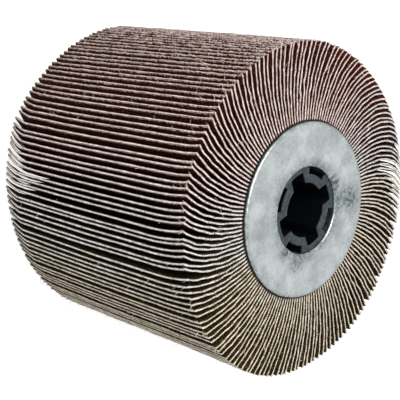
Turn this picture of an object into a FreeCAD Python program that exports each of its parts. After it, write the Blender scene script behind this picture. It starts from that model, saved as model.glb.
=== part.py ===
"""Flap drum for a burnishing machine: curled abrasive cloth flaps between two pressed flanges.

The drum stands on its rear flange, with its axis along +Z and the origin at the middle of
the rear flange's outer face. Two of the four keyways lie on the X axis. Millimetres, degrees.
"""
import FreeCAD, Part

import math
import os

import Sketcher

# Driving dimensions, one cell of the sheet each
SIZES = {
    "flap_width": 100.0,
    "flap_count": 158,
    "flap_thickness": 0.8,
    "flap_reach": 29.4,
    "flap_curl": 25.0,
    "flap_wobble": 1.2,
    "parting_direction": 178.8,
    "parting_curl": 8.0,
    "parting_spread": 10.0,
    "bond_dia": 59.5,
    "core_wall": 3.05,
    "core_clearance": 0.1,
    "flange_dia": 62.3,
    "flange_sheet": 1.2,
    "rim_round": 1.1,
    "mouth_reach": 2.3,
    "mouth_drop": 1.1,
    "collar_wall": 0.95,
    "collar_length": 5.0,
    "bush_length": 25.0,
    "bush_sink": 0.9,
    "bush_wall": 1.9,
    "bush_clearance": 0.05,
    "spindle_bore": 19.3,
    "keyway_count": 4,
    "keyway_width": 6.6,
    "keyway_depth": 3.8,
    "recess_depth": 2.6,
    "recess_angle": 36.0,
}

# What lies round the spindle bore, one layer outside the other
LAYERS = (
    "keyway_depth",
    "bush_wall",
    "bush_clearance",
    "collar_wall",
    "core_clearance",
    "core_wall",
)

# Where the flaps curl more or less than the rest: direction, half width and extra curl
CURL_LOBES = (
    (12.7, 33.0, 22.0),
    (72.7, 12.0, -3.0),
    (117.7, 12.0, 3.0),
    (192.7, 20.0, 3.0),
    (247.7, 12.0, -3.0),
    (294.7, 20.0, -10.0),
)

# Two waves, in turns per flap, that make neighbouring flaps stand unevenly
WOBBLE_WAVES = (0.2718, 0.3819)

FULL_TURN = 360.0
FLAP_FLATS = 4
ROUND_FLATS = 3


def make_sheet(doc):
    """The sheet that holds every driving dimension under its alias."""
    sheet = doc.addObject("Spreadsheet::Sheet", "Sizes")
    rows = dict(SIZES)
    for number, lobe in enumerate(CURL_LOBES, start=1):
        for word, value in zip(("direction", "spread", "extra"), lobe):
            rows[f"lobe_{number}_{word}"] = value
    for row, (alias, value) in enumerate(rows.items(), start=1):
        sheet.set(f"A{row}", alias)
        sheet.set(f"B{row}", str(value))
        sheet.setAlias(f"B{row}", alias)
    doc.recompute()
    return sheet


def bind(thing, path, expression):
    """Ties a property or constraint to cells of the sheet, named in braces."""
    thing.setExpression(path, expression.replace("{", "Sizes.").replace("}", ""))


def dimension(sketch, kind, where, start, expression):
    """Adds a constraint that holds a size, and ties the size to the sheet."""
    index = sketch.addConstraint(Sketcher.Constraint(kind, *where, start))
    bind(sketch, f"Constraints[{index}]", expression)


def outside_of(layer):
    """The radius outside one of the layers round the spindle bore, as an expression."""
    inner = LAYERS[: LAYERS.index(layer) + 1]
    return "({spindle_bore} / 2 + " + " + ".join(f"{{{name}}}" for name in inner) + ")"


def origin_feature(body, role):
    """The body's own plane or axis with that role."""
    return next(f for f in body.Origin.OriginFeatures if f.Role == role)


def new_body(doc, label):
    body = doc.addObject("PartDesign::Body", label)
    body.Label = label
    return body


def new_sketch(body, name, plane="XY_Plane"):
    """A sketch on one of the body's own planes."""
    sketch = body.newObject("Sketcher::SketchObject", name)
    sketch.AttachmentSupport = [(origin_feature(body, plane), "")]
    sketch.MapMode = "FlatFace"
    return sketch


def join_ends(sketch, lines):
    """Closes a loop of lines, each one's end on the next one's start."""
    for line, following in zip(lines, lines[1:] + lines[:1]):
        sketch.addConstraint(Sketcher.Constraint("Coincident", line, 2, following, 1))


def loop_of_lines(sketch, points):
    """Lines round a closed loop of points, joined at their ends."""
    corners = [FreeCAD.Vector(x, y, 0) for x, y in points]
    lines = [
        sketch.addGeometry(Part.LineSegment(start, end), False)
        for start, end in zip(corners, corners[1:] + corners[:1])
    ]
    join_ends(sketch, lines)
    return lines


def ring_sketch(body, name, inner, outer):
    """Two circles about the axis, whose radii are expressions."""
    sketch = new_sketch(body, name)
    centre, up = FreeCAD.Vector(0, 0, 0), FreeCAD.Vector(0, 0, 1)
    for start, radius in ((10.0, inner), (20.0, outer)):
        circle = sketch.addGeometry(Part.Circle(centre, up, start), False)
        sketch.addConstraint(Sketcher.Constraint("Coincident", circle, 3, -1, 1))
        dimension(sketch, "Radius", (circle,), start, radius)
    return sketch


def slot_sketch(body, name, length, width):
    """A rectangle that runs out along +X from the axis, centred on it."""
    sketch = new_sketch(body, name)
    start_length, start_width = 10.0, 4.0
    low, high = -start_width / 2, start_width / 2
    lines = loop_of_lines(sketch, [(0, low), (start_length, low), (start_length, high), (0, high)])
    bottom, end, top, start = lines
    for line in (bottom, top):
        sketch.addConstraint(Sketcher.Constraint("Horizontal", line))
    for line in (end, start):
        sketch.addConstraint(Sketcher.Constraint("Vertical", line))
    sketch.addConstraint(Sketcher.Constraint("Symmetric", start, 1, start, 2, -1, 1))
    dimension(sketch, "DistanceX", (bottom, 1, bottom, 2), start_length, length)
    dimension(sketch, "DistanceY", (end, 1, end, 2), start_width, width)
    return sketch


def sector_sketch(body, name, inner, outer, middle, angle):
    """A ring sector between two radii, angle wide about the direction middle."""
    sketch = new_sketch(body, name)
    centre, up = FreeCAD.Vector(0, 0, 0), FreeCAD.Vector(0, 0, 1)
    near, far = 12.0, 18.0
    first, last = math.radians(30.0), math.radians(60.0)
    arcs = [
        sketch.addGeometry(Part.ArcOfCircle(Part.Circle(centre, up, r), first, last), False)
        for r in (near, far)
    ]
    sides = [
        sketch.addGeometry(Part.LineSegment(on_circle(near, a), on_circle(far, a)), False)
        for a in (first, last)
    ]
    for arc, start, radius in ((arcs[0], near, inner), (arcs[1], far, outer)):
        sketch.addConstraint(Sketcher.Constraint("Coincident", arc, 3, -1, 1))
        dimension(sketch, "Radius", (arc,), start, radius)
    for end, side in enumerate(sides, start=1):
        sketch.addConstraint(Sketcher.Constraint("Coincident", arcs[0], end, side, 1))
        sketch.addConstraint(Sketcher.Constraint("Coincident", arcs[1], end, side, 2))
        sketch.addConstraint(Sketcher.Constraint("PointOnObject", -1, 1, side))
    for side, start, sign in ((sides[0], first, "-"), (sides[1], last, "+")):
        dimension(sketch, "Angle", (side,), start, f"({middle} {sign} {angle} / 2) * 1 deg")
    return sketch


def profile_sketch(body, name, points):
    """A closed profile on the XZ plane: each point is its radius and height as expressions."""
    sketch = new_sketch(body, name, "XZ_Plane")
    radius, height = 20.0, 5.0
    turn = 2 * math.pi / len(points)
    around = [
        (radius + 5 * math.cos(k * turn), height + 5 * math.sin(k * turn))
        for k in range(len(points))
    ]
    lines = loop_of_lines(sketch, around)
    for line, (start_x, start_y), (across, up) in zip(lines, around, points):
        dimension(sketch, "DistanceX", (-1, 1, line, 1), start_x, across)
        if up == "0":
            sketch.addConstraint(Sketcher.Constraint("PointOnObject", line, 1, -1))
        else:
            dimension(sketch, "DistanceY", (-1, 1, line, 1), start_y, up)
    return sketch


def on_circle(radius, direction):
    """The point at that distance from the axis, in a direction in radians."""
    return FreeCAD.Vector(radius * math.cos(direction), radius * math.sin(direction), 0)


def rounded_corner(radius, height, reach, drop, inwards):
    """Points of a quarter round in a few flats, from its flat top to its upright side.

    radius and height are the round's centre. It reaches inwards or outwards from there and
    drops by its own height.
    """
    sign = "-" if inwards else "+"
    points = []
    for step in range(ROUND_FLATS + 1):
        angle = 90.0 * (ROUND_FLATS - step) / ROUND_FLATS
        points.append(
            (
                f"{radius} {sign} {reach} * cos({angle} deg)",
                f"{height} + {drop} * sin({angle} deg)",
            )
        )
    return points


def flange(doc, label):
    """Pressed steel flange: a disc with a rounded rim, its bore drawn down as a collar.

    The collar's end is the body's XY plane, so the disc's underside is a collar up.
    """
    body = new_body(doc, label)
    top = "{collar_length} + {flange_sheet}"
    bore, wall = outside_of("bush_clearance"), outside_of("collar_wall")
    mouth = rounded_corner(
        f"{bore} + {{mouth_reach}}",
        f"{top} - {{mouth_drop}}",
        "{mouth_reach}",
        "{mouth_drop}",
        inwards=True,
    )
    rim = rounded_corner(
        "{flange_dia} / 2 - {rim_round}",
        f"{top} - {{rim_round}}",
        "{rim_round}",
        "{rim_round}",
        inwards=False,
    )
    underside = [("{flange_dia} / 2", "{collar_length}"), (wall, "{collar_length}")]
    collar_end = [(wall, "0"), (bore, "0")]
    profile = profile_sketch(body, f"{label}_profile", rim + underside + collar_end + mouth[::-1])
    turned = body.newObject("PartDesign::Revolution", f"{label}_pressing")
    turned.Profile = profile
    turned.ReferenceAxis = (profile, ["V_Axis"])
    turned.Angle = FULL_TURN
    return body


def pad_down(body, name, sketch, length):
    feature = body.newObject("PartDesign::Pad", name)
    feature.Profile = sketch
    feature.Reversed = True
    bind(feature, "Length", length)
    return feature


def cut_round(body, name, sketch, depth, count):
    """A pocket towards -Z, repeated about the axis."""
    pocket = body.newObject("PartDesign::Pocket", name)
    pocket.Profile = sketch
    bind(pocket, "Length", depth)
    pattern = body.newObject("PartDesign::PolarPattern", f"{name}_pattern")
    pattern.Originals = [pocket]
    pattern.Axis = (origin_feature(body, "Z_Axis"), [""])
    pattern.Angle = FULL_TURN
    bind(pattern, "Occurrences", count)
    body.Tip = pattern
    return pattern


def bush(doc, label):
    """Moulded bush: a spigot inside the flange's collar and a barrel inside the core tube.

    Its outer face is the body's XY plane, and it runs down from there. Its shoulder seats
    against the collar's end.
    """
    body = new_body(doc, label)
    spigot_length = "{flange_sheet} - {bush_sink} + {collar_length}"
    bore = "{spindle_bore} / 2"
    spigot_radius = outside_of("bush_wall")
    spigot = ring_sketch(body, f"{label}_spigot_ring", bore, spigot_radius)
    pad_down(body, f"{label}_spigot", spigot, "{bush_length}")
    barrel_radius = outside_of("core_clearance") + " - {bush_clearance}"
    barrel = ring_sketch(body, f"{label}_barrel_ring", bore, barrel_radius)
    bind(barrel, "AttachmentOffset.Base.z", f"-({spigot_length})")
    pad_down(body, f"{label}_barrel", barrel, f"{{bush_length}} - ({spigot_length})")
    slot = slot_sketch(body, f"{label}_keyway_slot", outside_of("keyway_depth"), "{keyway_width}")
    cut_round(body, f"{label}_keyway", slot, "{bush_length}", "{keyway_count}")
    sector = sector_sketch(
        body,
        f"{label}_recess_sector",
        f"{spigot_radius} - {{recess_depth}}",
        outside_of("core_wall"),
        "180 / {keyway_count}",
        "{recess_angle}",
    )
    cut_round(body, f"{label}_recess", sector, "{bush_length}", "{keyway_count}")
    return body


def ahead(direction, mark):
    """How far a mark lies ahead of a direction, going counter-clockwise."""
    return (mark - direction) % FULL_TURN


def curl_at(sizes, number, direction):
    """How far one flap turns from its root to its tip, in degrees.

    It is the common curl, plus each lobe's bell, plus what the flaps before the parting
    gain as they fold away from it, plus a small wave from flap to flap.
    """
    curl = sizes.flap_curl
    for lobe in range(1, len(CURL_LOBES) + 1):
        middle, spread, extra = (
            getattr(sizes, f"lobe_{lobe}_{word}") for word in ("direction", "spread", "extra")
        )
        apart = min(ahead(direction, middle), ahead(middle, direction))
        curl += extra * math.exp(-((apart / spread) ** 2))
    before = ahead(direction, sizes.parting_direction)
    curl += sizes.parting_curl * math.exp(-before / sizes.parting_spread)
    waves = sum(math.sin(2 * math.pi * rate * number) for rate in WOBBLE_WAVES)
    return curl + sizes.flap_wobble * waves / len(WOBBLE_WAVES)


def flap_sides(sizes, number):
    """Points up the two sides of one flap, its clockwise side first.

    The flap's middle line is an arc that leaves the bond along the radius and turns
    clockwise. Each side is that arc moved by half a thickness, in a few flats.
    """
    direction = FULL_TURN * number / sizes.flap_count
    curl = math.radians(curl_at(sizes, number, direction))
    outwards = on_circle(1.0, math.radians(direction))
    clockwise = FreeCAD.Vector(outwards.y, -outwards.x, 0)
    radius = sizes.flap_reach / curl
    centre = outwards * (sizes.bond_dia / 2) + clockwise * radius
    sides = []
    for offset in (-sizes.flap_thickness / 2, sizes.flap_thickness / 2):
        turns = [curl * step / FLAP_FLATS for step in range(FLAP_FLATS + 1)]
        sides.append(
            [
                centre + (outwards * math.sin(turn) - clockwise * math.cos(turn)) * (radius + offset)
                for turn in turns
            ]
        )
    return sides


def flap_outline(sizes):
    """The face that runs out along every flap and back, with the core's hole in it."""
    points = []
    for number in range(int(sizes.flap_count)):
        clockwise_side, other_side = flap_sides(sizes, number)
        points += clockwise_side + other_side[::-1]
    core_radius = sizes.spindle_bore / 2 + sum(getattr(sizes, name) for name in LAYERS)
    hole = Part.Circle(FreeCAD.Vector(0, 0, 0), FreeCAD.Vector(0, 0, 1), core_radius)
    wires = [Part.makePolygon(points + points[:1]), Part.Wire([hole.toShape()])]
    return Part.makeFace(wires, "Part::FaceMakerBullseye")


def flap_pack(doc, label):
    """The flaps and the ring of resin bond that holds their roots."""
    outline = doc.addObject("Part::Feature", f"{label}_outline")
    outline.Shape = flap_outline(doc.Sizes)
    pack = doc.addObject("Part::Extrusion", label)
    pack.Base = outline
    pack.DirMode = "Custom"
    pack.Dir = FreeCAD.Vector(0, 0, 1)
    pack.Solid = True
    bind(pack, "LengthFwd", "{flap_width}")
    return pack


def core_tube(doc, label):
    """Wound paper tube, as long as the flaps are wide."""
    outer = doc.addObject("Part::Cylinder", f"{label}_outside")
    inner = doc.addObject("Part::Cylinder", f"{label}_inside")
    bind(outer, "Radius", outside_of("core_wall"))
    bind(inner, "Radius", outside_of("core_clearance"))
    for cylinder in (outer, inner):
        bind(cylinder, "Height", "{flap_width}")
    tube = doc.addObject("Part::Cut", label)
    tube.Base = outer
    tube.Tool = inner
    return tube


def place(thing, height, upside_down=False):
    """Sets a piece at a height on the axis, turned over about X for the rear end."""
    turn = FreeCAD.Rotation(FreeCAD.Vector(1, 0, 0), 180 if upside_down else 0)
    thing.Placement = FreeCAD.Placement(FreeCAD.Vector(0, 0, 0), turn)
    bind(thing, "Placement.Base.z", height)
    return thing


def build(doc):
    """Every sub-part in its place, from the core outwards."""
    front_face = "{flange_sheet} + {flap_width}"
    return [
        place(core_tube(doc, "core_tube"), "{flange_sheet}"),
        place(flap_pack(doc, "flap_pack"), "{flange_sheet}"),
        place(flange(doc, "front_flange"), f"{front_face} - {{collar_length}}"),
        place(flange(doc, "rear_flange"), "{flange_sheet} + {collar_length}", upside_down=True),
        place(bush(doc, "front_bush"), f"{front_face} + {{flange_sheet}} - {{bush_sink}}"),
        place(bush(doc, "rear_bush"), "{bush_sink}", upside_down=True),
    ]


def check(doc, parts):
    """Stops on any object that failed and on any sub-part that isn't one valid solid."""
    for thing in doc.Objects:
        if {"Invalid", "Error"} & set(thing.State):
            raise RuntimeError(f"{thing.Label} failed to build")
    for part in parts:
        shape = part.Shape
        if shape.isNull() or not shape.isValid() or len(shape.Solids) != 1:
            raise RuntimeError(f"{part.Label} isn't one valid solid")
        print(f"{part.Label}: {shape.Volume / 1000:.2f} cm3, {len(shape.Faces)} faces")


def main():
    doc = FreeCAD.newDocument("flap_drum")
    make_sheet(doc)
    parts = build(doc)
    doc.recompute()
    check(doc, parts)
    os.makedirs("parts", exist_ok=True)
    for part in parts:
        part.Shape.exportStep(os.path.join("parts", f"{part.Label}.step"))


main()
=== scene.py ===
"""Abrasive flap drum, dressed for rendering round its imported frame.

The drum stands on its rear flange with its axis along +Z. The flaps, bond, flanges and bushes
are modelled here as surfaces worked out with numpy, and they stand for the solids of the
frame. The camera looks at the front end at the photograph's angle. Lengths are in metres,
written as millimetres times MM, and angles are in degrees.
"""

import logging
import math
from dataclasses import dataclass
from enum import Enum
from typing import Any

import bpy
import numpy as np
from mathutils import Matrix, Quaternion, Vector

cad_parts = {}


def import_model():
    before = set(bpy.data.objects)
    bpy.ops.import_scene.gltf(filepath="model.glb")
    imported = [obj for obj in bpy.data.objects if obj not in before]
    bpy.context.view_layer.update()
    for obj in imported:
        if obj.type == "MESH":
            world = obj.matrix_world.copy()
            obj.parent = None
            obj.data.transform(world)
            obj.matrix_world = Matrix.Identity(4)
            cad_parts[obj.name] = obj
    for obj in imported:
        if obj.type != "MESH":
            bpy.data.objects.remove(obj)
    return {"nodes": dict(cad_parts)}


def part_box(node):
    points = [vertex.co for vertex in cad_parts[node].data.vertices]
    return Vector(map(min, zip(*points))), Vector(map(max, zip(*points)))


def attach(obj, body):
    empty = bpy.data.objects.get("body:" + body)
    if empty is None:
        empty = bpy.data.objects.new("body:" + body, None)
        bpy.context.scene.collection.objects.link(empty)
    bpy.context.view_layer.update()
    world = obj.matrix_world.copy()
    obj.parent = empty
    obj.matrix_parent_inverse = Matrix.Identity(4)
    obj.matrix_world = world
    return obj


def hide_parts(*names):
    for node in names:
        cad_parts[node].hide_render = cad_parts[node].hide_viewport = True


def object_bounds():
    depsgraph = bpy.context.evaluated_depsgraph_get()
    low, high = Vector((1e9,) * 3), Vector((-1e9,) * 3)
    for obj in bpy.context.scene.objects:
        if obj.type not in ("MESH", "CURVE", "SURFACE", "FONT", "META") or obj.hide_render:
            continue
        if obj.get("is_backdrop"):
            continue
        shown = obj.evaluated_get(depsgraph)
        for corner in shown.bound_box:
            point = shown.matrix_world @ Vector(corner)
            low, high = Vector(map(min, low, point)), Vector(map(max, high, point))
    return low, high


Tree = bpy.types.NodeTree
Node = bpy.types.Node
Socket = bpy.types.NodeSocket
Material = bpy.types.Material
Place = tuple[float, float, float]

MM = 0.001
FULL_TURN = 360.0
BODY = "root"

# The Mix node's sockets for colours, which share their names with those for numbers
MIX_A, MIX_B, MIX_RESULT = 6, 7, 2

# A Wave Texture's scale times the length of one wave
WAVE = 2 * math.pi / 20

# A place times this is its part square to the drum's axis
SQUARE_TO_AXIS = (1.0, 1.0, 0.0)

# Rub marks on the front flange, each as X, Y and reach in millimetres
RUB_MARKS = (
    (20.0, -6.0, 6.5),
    (24.0, -9.0, 7.0),
    (17.0, 2.0, 4.0),
    (-12.0, -15.5, 5.0),
    (-16.0, -9.0, 3.5),
)

log = logging.getLogger("flap_drum")


class Slot(Enum):
    """The record's material slots, one for each kind of new piece."""

    CLOTH = "abrasive_cloth"
    ZINC = "zinc_plate"
    PLASTIC = "black_plastic"


class End(Enum):
    """The two ends of the drum, as the way that each one faces along the axis."""

    FRONT = 1.0
    REAR = -1.0


# Node and colour helpers


def linear(code: str) -> tuple[float, float, float, float]:
    """Turns an sRGB hex colour into Blender's linear one.

    Args:
        code: Six hex digits after a hash sign.

    Returns:
        Linear red, green and blue, then 1 for a solid colour.
    """
    parts = [int(code[i : i + 2], 16) / 255 for i in (1, 3, 5)]
    red, green, blue = (c / 12.92 if c <= 0.04045 else ((c + 0.055) / 1.055) ** 2.4 for c in parts)
    return red, green, blue, 1.0


def fill(tree: Tree, node: Node, inputs: dict[Any, Any]) -> None:
    """Sets or links the sockets of a node.

    Args:
        tree: The node tree that holds it.
        node: The node.
        inputs: For a socket's name or number, the value it holds or the socket it is linked to.
    """
    for name, value in inputs.items():
        if isinstance(value, Socket):
            tree.links.new(value, node.inputs[name])
        else:
            node.inputs[name].default_value = value


def add_node(tree: Tree, kind: str, inputs: dict[Any, Any] | None = None, **settings: Any) -> Node:
    """Adds a node with its settings and links.

    Args:
        tree: The node tree that gets it.
        kind: The node's type, such as ShaderNodeBump.
        inputs: What its sockets hold or are linked to, by name or number.
        **settings: The node's own properties.

    Returns:
        The new node.
    """
    node = tree.nodes.new(kind)
    for name, value in settings.items():
        setattr(node, name, value)
    fill(tree, node, inputs or {})
    return node


def blank_material(name: str) -> tuple[Material, Tree, Node]:
    """Starts a material with one principled shader.

    Args:
        name: The material's name.

    Returns:
        The material, its node tree and the shader.
    """
    material = bpy.data.materials.new(name)
    material.use_nodes = True
    tree = material.node_tree
    tree.nodes.clear()
    shader = add_node(tree, "ShaderNodeBsdfPrincipled")
    add_node(tree, "ShaderNodeOutputMaterial", {"Surface": shader.outputs["BSDF"]})
    return material, tree, shader


# Mesh helpers


@dataclass
class Patch:
    """A grid of vertex numbers that becomes quads, with a map and a material of its own.

    places holds two columns of map coordinates for each grid point, and lengths the same
    points in millimetres along and across the sheet. slot is the material's number.
    """

    numbers: np.ndarray
    places: np.ndarray
    lengths: np.ndarray
    slot: int

    @staticmethod
    def corners(grid: np.ndarray) -> np.ndarray:
        """The four corners of each cell of a grid, going round it."""
        ring = (grid[:-1, :-1], grid[1:, :-1], grid[1:, 1:], grid[:-1, 1:])
        return np.stack(ring, axis=2).reshape(-1, 4, *grid.shape[2:])


def mesh_object(
    name: str,
    points: np.ndarray,
    faces: np.ndarray,
    materials: list[Material],
    slots: np.ndarray | None = None,
    sharp: float = 40.0,
) -> bpy.types.Object:
    """Makes an object at the origin from arrays of points and quads.

    Args:
        name: The object's name.
        points: Places of the vertices, three columns.
        faces: Vertex numbers of the quads, four columns.
        materials: The object's materials, in slot order.
        slots: For each face its material's number, or None for the first one.
        sharp: Edges that turn by more than this many degrees stay sharp.

    Returns:
        The new object, linked to the scene.
    """
    mesh = bpy.data.meshes.new(name)
    mesh.vertices.add(len(points))
    mesh.vertices.foreach_set("co", np.ascontiguousarray(points, np.float32).ravel())
    mesh.loops.add(faces.size)
    mesh.loops.foreach_set("vertex_index", faces.astype(np.int32).ravel())
    mesh.polygons.add(len(faces))
    mesh.polygons.foreach_set("loop_start", np.arange(0, faces.size, 4, dtype=np.int32))
    if slots is not None:
        mesh.polygons.foreach_set("material_index", slots.astype(np.int32))
    mesh.update(calc_edges=True)
    mesh.shade_smooth()
    mesh.set_sharp_from_angle(angle=math.radians(sharp))
    for material in materials:
        mesh.materials.append(material)
    thing = bpy.data.objects.new(name, mesh)
    bpy.context.scene.collection.objects.link(thing)
    return thing


def closed_quads(rows: int, columns: int) -> np.ndarray:
    """Quads over a grid that closes on itself both ways, as on a ring.

    Args:
        rows: Number of points along the first direction.
        columns: Number of points along the second direction.

    Returns:
        Vertex numbers, four columns.
    """
    numbers = np.arange(rows * columns).reshape(rows, columns)
    wrapped = np.pad(numbers, ((0, 1), (0, 1)), mode="wrap")
    return Patch.corners(wrapped)


def turned(profile: np.ndarray, steps: int) -> tuple[np.ndarray, np.ndarray]:
    """Turns a closed profile round the Z axis.

    Point (i, j) lies at the profile's radius i, in the direction 360 j / steps, at the
    profile's height i.

    Args:
        profile: Radius and height of each point, so ordered that the faces look outwards.
        steps: Number of steps round the axis.

    Returns:
        The points and the quads.
    """
    around = np.arange(steps) * 2 * math.pi / steps
    radius, height = profile[:, :1], profile[:, 1:]
    flat = (radius * np.cos(around), radius * np.sin(around), height + 0 * around)
    return np.stack(flat, axis=2).reshape(-1, 3), closed_quads(len(profile), steps)


def quarter(
    centre: tuple[float, float], reach: float, drop: float, start: float, count: int
) -> np.ndarray:
    """Points of a quarter of an ellipse, going round anticlockwise.

    Point k is the centre plus (reach cos a, drop sin a), where a runs from start over 90
    degrees.

    Args:
        centre: Radius and height of the centre.
        reach: Half axis along the radius.
        drop: Half axis along the height.
        start: First angle in degrees.
        count: Number of steps.

    Returns:
        Radius and height of each point.
    """
    angle = np.radians(np.linspace(start, start + 90.0, count + 1))
    return np.stack([centre[0] + reach * np.cos(angle), centre[1] + drop * np.sin(angle)], axis=1)


def smooth_noise(rng: np.random.Generator, shape: tuple[int, ...], run: int) -> np.ndarray:
    """Random numbers with a smooth last axis.

    Each number is the mean of run neighbours out of a row of even random numbers from -1
    to 1, made larger so that its spread doesn't depend on run.

    Args:
        rng: The source of random numbers.
        shape: Shape of the result.
        run: How many neighbours are averaged.

    Returns:
        The numbers, mostly between -1 and 1.
    """
    raw = rng.uniform(-1.0, 1.0, (*shape[:-1], shape[-1] + run))
    total = np.cumsum(raw, axis=-1)
    return (total[..., run:] - total[..., :-run]) / math.sqrt(run)


# What finishes are put together from


@dataclass(frozen=True)
class Ramp:
    """A share that runs in a straight line from low at start to high at end, and no further."""

    start: float
    end: float
    low: float = 0.0
    high: float = 1.0

    def sockets(self, value: Socket) -> dict[str, Any]:
        """What turns the value into the share."""
        ends = {"From Min": self.start, "From Max": self.end}
        return {"Value": value, **ends, "To Min": self.low, "To Max": self.high}


@dataclass(frozen=True)
class Clouds:
    """Random clouds: the size of the largest, the levels of finer ones and their strength."""

    size: float
    detail: float
    roughness: float = 0.5

    def sockets(self, where: Socket) -> dict[str, Any]:
        """What gives the clouds at those coordinates."""
        finer = {"Detail": self.detail, "Roughness": self.roughness}
        return {"Vector": where, "Scale": 1 / self.size, **finer}


@dataclass(frozen=True)
class Relief:
    """Relief too fine to model: its strength and its depth."""

    strength: float
    depth: float

    def sockets(self, height: Socket) -> dict[str, Any]:
        """What gives the relief for that height."""
        return {"Height": height, "Strength": self.strength, "Distance": self.depth}


def layered(
    tree: Tree,
    base: Socket | str,
    *layers: tuple[Socket, Ramp | None, Socket | str],
    how: str = "MIX",
) -> Socket:
    """Lays colours over a base, one after another.

    Args:
        tree: The material's node tree.
        base: The lowest colour, as a socket or a hex colour.
        *layers: For each layer the value that it goes by, the ramp from that to how much of
            the layer is seen, or None where the value is that share, and its colour.
        how: The way that each layer is mixed with those below.

    Returns:
        The colour that is seen.
    """
    colour = linear(base) if isinstance(base, str) else base
    for value, ramp, shade in layers:
        if ramp is not None:
            value = add_node(tree, "ShaderNodeMapRange", ramp.sockets(value)).outputs["Result"]
        over = linear(shade) if isinstance(shade, str) else shade
        both = {"Factor": value, MIX_A: colour, MIX_B: over}
        mix = add_node(tree, "ShaderNodeMix", both, data_type="RGBA", blend_type=how)
        colour = mix.outputs[MIX_RESULT]
    return colour


class Finish:
    """A real material's finish: its name, how it is painted, and relief too fine to model."""

    name: str
    relief: Relief

    def paint(self, tree: Tree, where: Socket) -> tuple[Socket, dict[str, Any]]:
        """Adds the nodes that are the finish's own.

        Args:
            tree: The material's node tree.
            where: The object coordinates.

        Returns:
            The height of the relief, and what the shader's sockets take.
        """
        raise NotImplementedError

    def material(self) -> Material:
        """Builds the material."""
        material, tree, shader = blank_material(self.name)
        where = add_node(tree, "ShaderNodeTexCoord").outputs["Object"]
        height, inputs = self.paint(tree, where)
        bump = add_node(tree, "ShaderNodeBump", self.relief.sockets(height)).outputs["Normal"]
        fill(tree, shader, {"Normal": bump, **inputs})
        return material


# Finishes


@dataclass(frozen=True)
class PaleCotton:
    """Sized cotton that the grinding has cleaned, as on the flaps' edges and worn tips.

    The eye sees cream, pinker on one side of the drum and yellower on the other, with
    darker patches, which the colour worn multiplies, and darker towards the rear end.
    to_plain and to_pink go by the cosine of the angle round the drum from the pink side.
    """

    pink: str = "#F6E0DA"
    plain: str = "#EEF1F0"
    straw: str = "#F5EBD6"
    worn: str = "#D4CEC4"
    rear_tone: str = "#8F867A"
    pink_side: Place = (0.1, 0.995, 0.0)
    to_plain: Ramp = Ramp(-0.25, 0.08)
    to_pink: Ramp = Ramp(0.08, 0.8)
    rear_darkening: Ramp = Ramp(0.0, 10.0 * MM, 0.7, 0.0)
    wear: Clouds = Clouds(2.6 * MM, 5.0, 0.7)
    patches: Ramp = Ramp(0.44, 0.66)

    def colour(self, tree: Tree, where: Socket) -> Socket:
        """Adds the nodes that give the cotton's colour at those object coordinates."""
        flat = {0: where, 1: SQUARE_TO_AXIS}
        out = add_node(tree, "ShaderNodeVectorMath", flat, operation="MULTIPLY").outputs
        way = add_node(tree, "ShaderNodeVectorMath", {0: out["Vector"]}, operation="NORMALIZE")
        both = {0: way.outputs["Vector"], 1: self.pink_side}
        cosine = add_node(tree, "ShaderNodeVectorMath", both, operation="DOT_PRODUCT")
        side = cosine.outputs["Value"]
        height = add_node(tree, "ShaderNodeSeparateXYZ", {"Vector": where}).outputs["Z"]
        wear = add_node(tree, "ShaderNodeTexNoise", self.wear.sockets(where)).outputs["Fac"]
        clean = layered(
            tree,
            self.straw,
            (side, self.to_plain, self.plain),
            (side, self.to_pink, self.pink),
            (height, self.rear_darkening, self.rear_tone),
        )
        return layered(tree, clean, (wear, self.patches, self.worn), how="MULTIPLY")


@dataclass(frozen=True)
class CutEdge(Finish):
    """Cut edge of the abrasive cloth: pale sized cotton, with the brown grain coat on one side.

    The eye sees a pale line, flecked with brown grit, between the dark coat and the olive
    back. Close inside the flange's rim it is painted near black, as painted shadow in the gap
    under the rim. coat_grit and back_grit are how far the grit makes the two border lines
    ragged. The attribute across is 0 at the coat and 1 at the cloth.
    """

    name: str = "cut_cloth_edge"
    cotton: PaleCotton = PaleCotton()
    fleck: str = "#5A3A30"
    coat: str = "#2C110D"
    back: str = "#2C2615"
    # painted shadow: the near black colour of the gap under the flange's rim
    rim_shadow: str = "#0F0B08"
    grit: Clouds = Clouds(0.5 * MM, 2.0, 0.6)
    flecks: Ramp = Ramp(0.53, 0.64, high=0.85)
    coat_grit: float = 0.6
    coat_border: Ramp = Ramp(0.38, 0.52)
    back_grit: float = -0.4
    back_border: Ramp = Ramp(0.52, 0.68)
    rim_shadowing: Ramp = Ramp(31.5 * MM, 32.1 * MM, 1.0, 0.0)
    relief: Relief = Relief(0.7, 0.3 * MM)
    roughness: float = 0.9

    def paint(self, tree: Tree, where: Socket) -> tuple[Socket, dict[str, Any]]:
        """Adds the cotton between its two borders, and the painted rim shadow by the distance to
        the axis.
        """
        across = add_node(tree, "ShaderNodeAttribute", attribute_name="across").outputs["Fac"]
        grit = add_node(tree, "ShaderNodeTexNoise", self.grit.sockets(where)).outputs["Fac"]
        flat = {0: where, 1: SQUARE_TO_AXIS}
        out = add_node(tree, "ShaderNodeVectorMath", flat, operation="MULTIPLY").outputs
        radius = add_node(tree, "ShaderNodeVectorMath", {0: out["Vector"]}, operation="LENGTH")
        ahead, behind = (
            add_node(
                tree, "ShaderNodeMath", {0: grit, 1: share, 2: across}, operation="MULTIPLY_ADD"
            ).outputs["Value"]
            for share in (self.coat_grit, self.back_grit)
        )
        pale = layered(tree, self.cotton.colour(tree, where), (grit, self.flecks, self.fleck))
        colour = layered(
            tree,
            self.coat,
            (ahead, self.coat_border, pale),
            (behind, self.back_border, self.back),
            # painted shadow: near black on the cut edges close inside the flange's rim
            (radius.outputs["Value"], self.rim_shadowing, self.rim_shadow),
        )
        return grit, {"Base Color": colour, "Roughness": self.roughness}


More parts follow.
